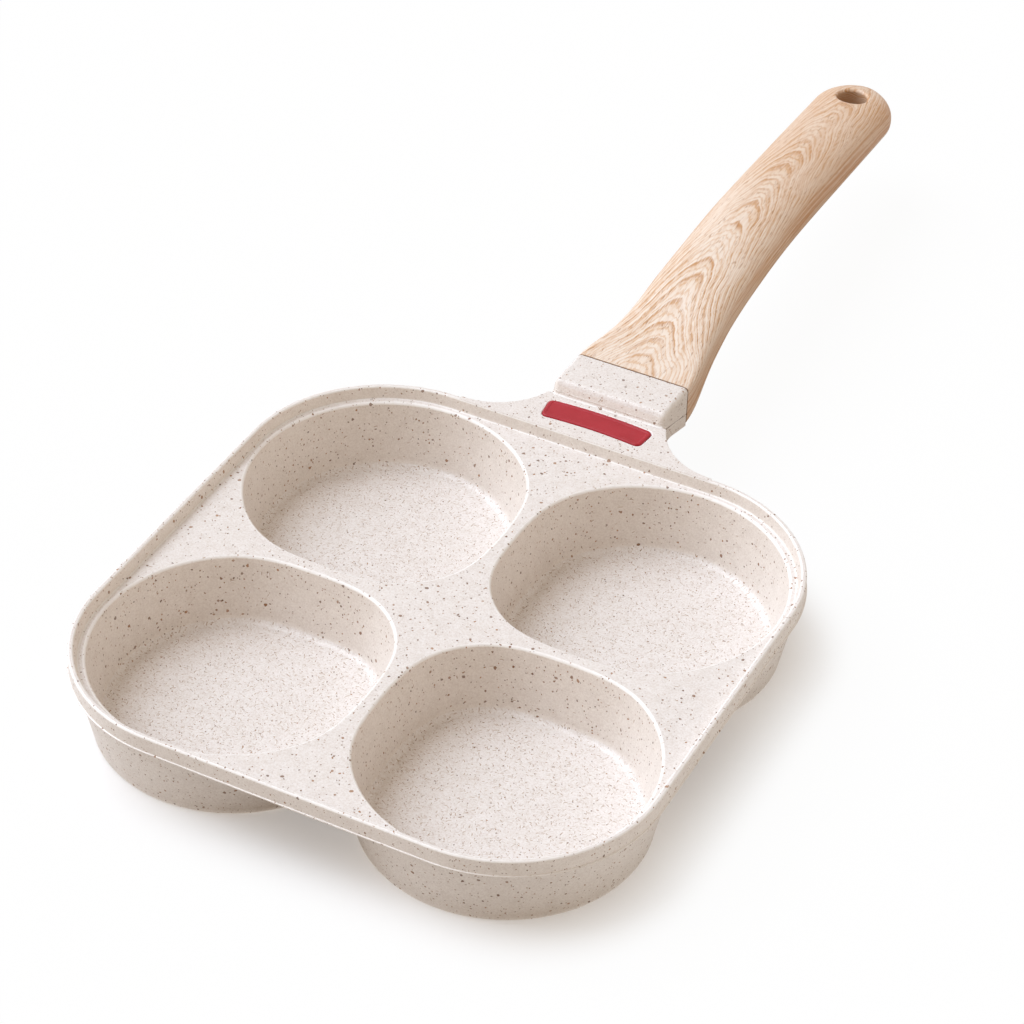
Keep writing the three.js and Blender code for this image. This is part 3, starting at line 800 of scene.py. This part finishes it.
def coverFootPlace(turn, grow, height):
    # plan of the small hollow fillet that runs round the front of the block
    corner = cover["corner"] + grow
    middle = neck["coverFront"] + cover["corner"]
    widest = neck["half"] - cover["sideGap"]
    side, step, angle = shoulder(turn)
    if step == 0:
        return Vector((side * min(widest, neck["half"] + grow), middle + cover["flareLength"], height))
    x = neck["half"] - cover["corner"] + corner * math.cos(angle)
    return Vector((side * min(widest, x), middle - corner * math.sin(angle), height))


def coverPiece():
    front, back = neck["coverFront"] - seatGap + cover["seam"], neck["coverBack"]
    bed, floor = tray["top"] + cover["bedOver"], tray["top"] + cover["footOver"]
    base = [(front, seatHeight(front) + seatGap), (back, seatHeight(back) + seatGap)]
    base += [(back, bed), (front, bed)]
    lower = slab([(-neck["half"], y, z) for y, z in base], (2 * neck["half"], 0, 0))
    block = asObject("cover_block", lower)
    count = 2 * cover["shoulderSteps"] + 4
    corners, tops = cover["stopSteps"]
    near = [cover["corner"] * (1 - math.cos(i / corners * math.pi / 2)) for i in range(corners + 1)]
    far = [blend(near[-1], back - neck["coverFront"], (i + 1) / tops) for i in range(tops)]
    upper = ringStack(count, [(neck["coverFront"] + d,) for d in near + far], coverPlace)
    flare = cover["flare"]
    steps = [(flare - a, floor + u) for a, u in quarter(flare)]
    foot = ringStack(count, steps + [(-cover["flareIn"], floor + flare)], coverFootPlace)
    combine(block, "UNION", [asObject("coverUpper", upper), asObject("coverFoot", foot)])
    combine(block, "DIFFERENCE", [tongueBlock(seatGap)])
    finishPiece(block, ["handle_cover"], coating)


# Wood grip
grip = {
    "length": 201.2, "half": 15.2, "shoulder": 16.4, "depth": 20, "frontDepth": 15.2, "endDepth": 18,
    "rise": 10.4, "droop": 4.2, "flare": 21, "taper": 135, "swell": 100, "thinning": 60, "endRound": 15.5,
    "endShare": 0.45, "tipFlat": 0.06, "skin": 0.05, "softness": 2.3, "squareness": 15.7, "squareFade": 16,
    # the arch as (share of the length, share of the rise)
    "arch": ((0, 0), (0.09, 0.02), (0.17, 0.32), (0.24, 0.63), (0.35, 0.86), (0.52, 1)),
    "archStep": 0.0002, "evenReach": 16, "evenFrom": 62, "evenFade": 20,
    "bore": 5.6, "boreRound": 1.3, "boreInset": 16, "boreSteps": 7, "boreTurns": 64, "boreOver": 20,
    "boreGuess": 9.0, "boreTries": 6,
    "turns": 96, "nearFlares": 2.2, "stopSteps": (40, 60, 20), "sharp": 35,
    # grain: millimetres to the radian, and the painted shade deeper in the hanging hole
    "grainRadius": 12.6, "holeHalf": 8, "holeEdge": 0.05, "holeShadeFrom": 1.1, "holeShadeFade": 1.2, "tipMargin": 1,
}
frontMiddle = coverTop - grip["frontDepth"] / 2
archStops = [(s * grip["length"], frontMiddle + r * grip["rise"]) for s, r in grip["arch"]]
archStops.append((grip["length"], frontMiddle + grip["rise"] - grip["droop"]))
boreCentre = grip["length"] - grip["boreInset"]


def catmull(a, b, c, d, t):
    v0, v1 = (c - a) * 0.5, (d - b) * 0.5
    return (2 * b - 2 * c + v0 + v1) * t ** 3 + (-3 * b + 3 * c - 2 * v0 - v1) * t * t + v0 * t + b


def archPoint(share):
    last = len(archStops) - 1
    spot = share * last
    i = min(int(spot), last - 1)
    picks = [archStops[max(0, min(last, k))] for k in (i - 1, i, i + 1, i + 2)]
    return [catmull(*(p[axis] for p in picks), spot - i) for axis in (0, 1)]


def archTable():
    # heights of the arch every half millimetre, evened out over the far half of the grip
    steps, share, heights = round(grip["length"] * 2), 0.0, []
    for i in range(steps + 1):
        while share < 1 and archPoint(share)[0] < i / 2:
            share += grip["archStep"]
        heights.append(archPoint(min(1, share))[1])
    reach = grip["evenReach"] * 2
    evened = []
    for i, height in enumerate(heights):
        span = min(reach, steps - i)
        even = sum(heights[i - span:i + span + 1]) / (2 * span + 1) if i >= span else height
        evened.append(blend(height, even, clamp((i / 2 - grip["evenFrom"]) / grip["evenFade"])))
    return evened


archHeights = archTable()


def archAt(along):
    spot = max(0, min(along * 2, len(archHeights) - 1.001))
    i = int(spot)
    return blend(archHeights[i], archHeights[i + 1], spot - i)


def easeOver(along, length):
    return math.sin(clamp(along / length) * math.pi / 2)


def gripSection(along):
    # half width, half depth, power and middle height of one section, without the round tip
    flare = (neck["half"] - grip["shoulder"]) * math.exp(-(along / grip["flare"]) ** 2)
    half = flare + blend(grip["shoulder"], grip["half"], easeOver(along, grip["taper"]))
    thin = max(0, along - grip["length"] + grip["thinning"]) / grip["thinning"]
    swollen = blend(grip["frontDepth"], grip["depth"], easeOver(along, grip["swell"]))
    depth = blend(swollen, grip["endDepth"], thin ** 2)
    power = grip["softness"] + grip["squareness"] * math.exp(-along / grip["squareFade"])
    return half, depth / 2 - grip["skin"], power, archAt(along)


def tipShare(along):
    turned = max(0, along - grip["length"] + grip["endRound"]) / grip["endRound"]
    return math.sqrt(max(0, 1 - turned ** 2))


def gripPlace(turn, along):
    half, deep, power, middle = gripSection(along)
    tip = tipShare(along)
    angle = math.tau * turn / grip["turns"]
    x, z = math.cos(angle), math.sin(angle)
    x = math.copysign(abs(x) ** (2 / power), x) * half * tip
    z = math.copysign(abs(z) ** (2 / power), z) * deep * blend(grip["endShare"], 1, tip)
    return Vector((x, gripFront + along, middle + z))


def gripSkin(x, along, side):
    # height of the grip's top (side 1) or underside (side -1) over a point
    half, deep, power, middle = gripSection(along)
    tip = tipShare(along)
    share = min(1, abs(x) / (half * tip))
    return middle + side * deep * blend(grip["endShare"], 1, tip) * (1 - share ** power) ** (1 / power)


def boreSolid():
    # hanging hole, square to the arch, with both mouths rounded into the skin
    count, bend = grip["boreTurns"], grip["boreRound"]
    mouth = grip["bore"] + bend
    middle = archAt(boreCentre)
    slope = math.atan(archAt(boreCentre + 1) - middle)

    def place(turn, side, reach, down):
        angle = math.tau * turn / count
        x, b = reach * math.cos(angle), reach * math.sin(angle)
        high = side * grip["boreGuess"]
        for _ in range(grip["boreTries"]):
            along = boreCentre + b * math.cos(slope) - high * math.sin(slope)
            high = (gripSkin(x, along, side) - middle - b * math.sin(slope)) / math.cos(slope)
        high = side * grip["boreOver"] if down is None else high - side * down
        return Vector((x, gripFront + boreCentre + b * math.cos(slope) - high * math.sin(slope),
                       middle + b * math.sin(slope) + high * math.cos(slope)))

    rounded = quarter(bend, grip["boreSteps"])
    steps = [(-1, mouth, None)]
    steps += [(-1, mouth - a, d) for a, d in rounded]
    steps += [(1, mouth - a, d) for a, d in reversed(rounded)]
    steps.append((1, mouth, None))
    return asObject("bore", ringStack(count, steps, place))


def grainAttribute(mesh):
    # place round the section and along the grip, and how deep a point lies in the hanging hole, as the share
    # of painted shade there
    spots = mesh.attributes.new("grain", "FLOAT_VECTOR", "POINT")
    for v, spot in zip(mesh.vertices, spots.data):
        along = max(0, v.co.y - gripFront)
        half, deep, _, middle = gripSection(along)
        angle = math.atan2(v.co.x / half, (v.co.z - middle) / deep)
        radius = math.hypot(v.co.x, along - boreCentre)
        inside = radius < grip["bore"] + grip["boreRound"] - grip["holeEdge"]
        over = (min(abs(v.co.x), grip["holeHalf"]), min(along, grip["length"] - grip["tipMargin"]))
        depth = min(gripSkin(*over, 1) - v.co.z, v.co.z - gripSkin(*over, -1))
        dark = clamp((depth - grip["holeShadeFrom"]) / grip["holeShadeFade"]) if inside else 0
        spot.vector = (angle * grip["grainRadius"], along, dark)


def gripPiece():
    flat, near = grip["length"] - grip["endRound"], grip["nearFlares"] * grip["flare"]
    nearSteps, farSteps, tipSteps = grip["stopSteps"]
    stops = [near * i / nearSteps for i in range(nearSteps)]
    stops += [blend(near, flat, i / farSteps) for i in range(farSteps)]
    stops += [flat + grip["endRound"] * math.sin(i / tipSteps * math.pi / 2) for i in range(tipSteps - 1)]
    stops.append(grip["length"] - grip["tipFlat"])
    handle = asObject("wood_grip", ringStack(grip["turns"], [(s,) for s in stops], gripPlace))
    combine(handle, "UNION", [tongueBlock(0)])
    high = screws["insertDepth"] + screws["insertLength"] + seatGap
    pockets = [drilled(side, screws["insert"] + seatGap, -neck["thick"], high) for side in (-1, 1)]
    combine(handle, "DIFFERENCE", [boreSolid()] + pockets)
    grainAttribute(handle.data)
    finishPiece(handle, ["handle_grip"], wood, grip["sharp"])


panPiece()
patchPiece()
coverPiece()
gripPiece()

# Fasteners; outlines as (in from the radius, up from an end)
fastener = {
    "turns": 64, "sharp": 30, "over": 1,
    "headEdge": ((0.7, 0), (0.25, 0.12), (0, 0.45)), "headFoot": 0.2, "headGap": 0.65, "driveSides": 6,
    "threadFrom": 1.6, "threadTo": 0.9, "threadDepth": 0.28, "threadFlank": 0.2, "pitch": 0.5,
    "tip": ((0.3, -0.4), (0.8, 0)),
    "washerEdge": 0.15, "washerEdgeSteps": 3, "washerTurn": 350, "washerSteps": 72,
    "insertTurns": 96, "ribPitch": 4, "ribDepth": 0.22, "ribFrom": 0.2, "insertBevel": (0.35, 0.3),
    "collar": ((0, 1.5), (0.4, 1.7), (0.4, 2.3), (0, 2.5)),
}


def screwPiece(side, word):
    # socket screw: bevelled head, threaded shank, hexagon drive
    head, shank, reach = screws["head"], screws["shank"], screws["reach"]
    seat = washerSeat - screws["washerThick"] - fastener["headGap"]
    low, foot = seat - screws["headHeight"], fastener["headFoot"]
    steps = [(head - a, low + u) for a, u in fastener["headEdge"]]
    steps += [(head, seat - foot), (head - foot, seat), (shank, seat)]
    turn, flank = seat + fastener["threadFrom"], fastener["threadFlank"]
    while turn < reach - fastener["threadTo"]:
        steps += [(shank, turn), (shank - fastener["threadDepth"], turn + flank), (shank, turn + 2 * flank)]
        turn += fastener["pitch"]
    steps += [(shank - a, reach + u) for a, u in fastener["tip"]]
    screw = asObject(f"socket_screw_{word}", turnedSolid(steps, fastener["turns"], screwFrame(side)))
    hexagon = [(screws["drive"], low - fastener["over"]), (screws["drive"], low + screws["driveDepth"])]
    drive = asObject("drive", turnedSolid(hexagon, fastener["driveSides"], screwFrame(side)))
    combine(screw, "DIFFERENCE", [drive])
    finishPiece(screw, [f"clamp_screw_{word}"], steel, fastener["sharp"])


def washerPiece(side, word):
    # spring washer: a square ring with a narrow split
    top = washerSeat - seatGap
    low = top - screws["washerThick"]
    inner, outer = screws["shank"] + seatGap, screws["washer"]
    bm = bmesh.new()
    corners = [(inner, low), (outer, low), (outer, top), (inner, top)]
    bm.faces.new([bm.verts.new((x, 0, z)) for x, z in corners])
    roundCorners(bm, bm.verts[:], fastener["washerEdge"], fastener["washerEdgeSteps"])
    bmesh.ops.spin(bm, geom=bm.verts[:] + bm.edges[:] + bm.faces[:], cent=(0, 0, 0), axis=(0, 0, 1),
                   dvec=(0, 0, 0), angle=math.radians(fastener["washerTurn"]), steps=fastener["washerSteps"])
    bmesh.ops.recalc_face_normals(bm, faces=bm.faces)
    bmesh.ops.transform(bm, matrix=screwFrame(side), verts=bm.verts)
    washer = asObject(f"spring_washer_{word}", bm)
    finishPiece(washer, [f"lock_washer_{word}"], steel, fastener["sharp"])


def insertPiece(side, word):
    # knurled insert: ribs round the outside, a plain collar between them
    count, low, ribs = fastener["insertTurns"], screws["insertDepth"], screws["insert"]
    high, over = low + screws["insertLength"], fastener["over"]
    pitch = fastener["ribPitch"]

    def place(turn, radius, height):
        angle = math.tau * turn / count
        groove = turn % pitch >= pitch / 2 and radius > ribs - fastener["ribFrom"]
        reach = radius - (fastener["ribDepth"] if groove else 0)
        return screwFrame(side) @ Vector((reach * math.cos(angle), reach * math.sin(angle), height))

    into, up = fastener["insertBevel"]
    steps = [(ribs - into, low), (ribs, low + up)]
    steps += [(ribs - a, low + u) for a, u in fastener["collar"]]
    steps += [(ribs, high - up), (ribs - into, high)]
    insert = asObject(f"knurled_insert_{word}", ringStack(count, steps, place))
    combine(insert, "DIFFERENCE", [drilled(side, screws["shank"] + seatGap, low - over, high + over)])
    finishPiece(insert, [f"thread_insert_{word}"], brass, fastener["sharp"])


for side, word in ((-1, "left"), (1, "right")):
    screwPiece(side, word)
    washerPiece(side, word)
    insertPiece(side, word)
print("fasteners finished")

# Studio: white floor and backdrop, even fill, a soft key from the upper left and two weaker lamps
studio = {
    "fill": (0.435, 0.35, 0.266), "size": 12, "floor": (0.96, 0.96, 0.96), "bounce": (0.63, 0.61, 0.59),
    "white": (1, 1, 1), "nearLift": 0.22, "farLift": 0.95, "liftFrom": -0.012, "liftTo": 0.018,
    "sideGlow": 0.4, "glowFrom": 0.07, "glowTo": 0.12, "contact": 0.003,
    # name, energy, tint, spread in degrees, direction it comes from
    "lamps": (
        ("key", 2.27, (0.93, 1.035, 1.19), 48, (-0.61, -0.06, 0.788)),
        ("side", 0.55, (1.0, 0.98, 0.95), 30, (0.95, 0.25, 0.09)),
        ("low", 0.65, (1.0, 0.99, 0.98), 40, (-0.86, -0.48, 0.16)),
    ),
}
camera = {
    "azimuth": 26.5, "elevation": 38.4, "roll": 1.65, "focalPixels": 3413, "frame": 1024, "sensor": 36,
    "place": (378.4, -713.3, 706.2), "farClip": 100,
}


def studioFloor():
    bm = bmesh.new()
    bmesh.ops.create_grid(bm, x_segments=1, y_segments=1, size=studio["size"])
    floor = asObject("studio_floor", bm)
    f = Finish("studio floor")
    x, y = f.split(f.place())[:2]
    # the shadow stays close to the pan and fades out into white
    straight = (tray["half"] - tray["corner"]) / perMetre
    middle = toFrame.translation.y
    outX = (abs(x) - straight).atLeast(0)
    outY = (abs(y - middle) - straight).atLeast(0)
    away = (outX * outX + outY * outY).root() - tray["corner"] / perMetre
    near, far = studio["nearLift"], studio["farLift"]
    lift = near + (far - near) * away.rise(studio["liftFrom"], studio["liftTo"])
    seen = f.node("ShaderNodeLightPath", out="Is Camera Ray")
    glow = abs(x).rise(studio["glowFrom"], studio["glowTo"]) * studio["sideGlow"]
    matte = f.node("ShaderNodeBsdfDiffuse", None, {"Color": f.mix(seen, studio["bounce"], studio["floor"])})
    white = f.node("ShaderNodeEmission", None, {"Color": studio["white"], "Strength": 1})
    clear = f.node("ShaderNodeBsdfTransparent")
    # open from below, and to light for what stands on it, so the underside can be seen
    close = seen.beside("Ray Length").rise(studio["contact"], studio["contact"] / 2)
    under = f.node("ShaderNodeNewGeometry", out="Backfacing").atLeast(close * (1 - seen))
    top = f.node("ShaderNodeMixShader", None, {0: glow + (lift - glow) * seen, 1: matte, 2: white})
    both = f.node("ShaderNodeMixShader", None, {0: under, 1: top, 2: clear})
    f.node("ShaderNodeOutputMaterial", None, {"Surface": both})
    floor.data.materials.append(f.owner)


def studioLight():
    scene.world = bpy.data.worlds.new("studio")
    f = Finish("studio", scene.world)
    seen = f.node("ShaderNodeLightPath", out="Is Camera Ray")
    shown = seen.atLeast(seen.beside("Is Glossy Ray")).atLeast(seen.beside("Is Transmission Ray"))
    tint = f.mix(shown, studio["fill"], studio["white"])
    glow = f.node("ShaderNodeBackground", None, {"Color": tint, "Strength": 1})
    f.node("ShaderNodeOutputWorld", None, {"Surface": glow})
    for name, energy, colour, spread, source in studio["lamps"]:
        lamp = bpy.data.lights.new(name, "SUN")
        lamp.energy = energy
        lamp.color = colour
        lamp.angle = math.radians(spread)
        light = bpy.data.objects.new(name, lamp)
        light.rotation_mode = "QUATERNION"
        light.rotation_quaternion = Vector(source).to_track_quat("Z", "Y")
        scene.collection.objects.link(light)


def photoCamera():
    az, el, roll = (math.radians(camera[k]) for k in ("azimuth", "elevation", "roll"))
    back = Vector((math.sin(az) * math.cos(el), -math.cos(az) * math.cos(el), math.sin(el)))
    right = Vector((math.cos(az), math.sin(az), 0))
    up = back.cross(right)
    right, up = right * math.cos(roll) + up * math.sin(roll), up * math.cos(roll) - right * math.sin(roll)
    turned = Matrix((right, up, back)).transposed().to_4x4()
    lens = bpy.data.cameras.new("photo")
    lens.sensor_width = camera["sensor"]
    lens.lens = camera["focalPixels"] / camera["frame"] * camera["sensor"]
    lens.clip_end = camera["farClip"]
    made = bpy.data.objects.new("photo", lens)
    made.matrix_world = Matrix.Translation(toFrame @ Vector(camera["place"])) @ turned
    scene.collection.objects.link(made)
    scene.camera = made


studioFloor()
studioLight()
photoCamera()
scene.view_settings.view_transform = "Standard"
print("studio ready")

bpy.context.view_layer.update()
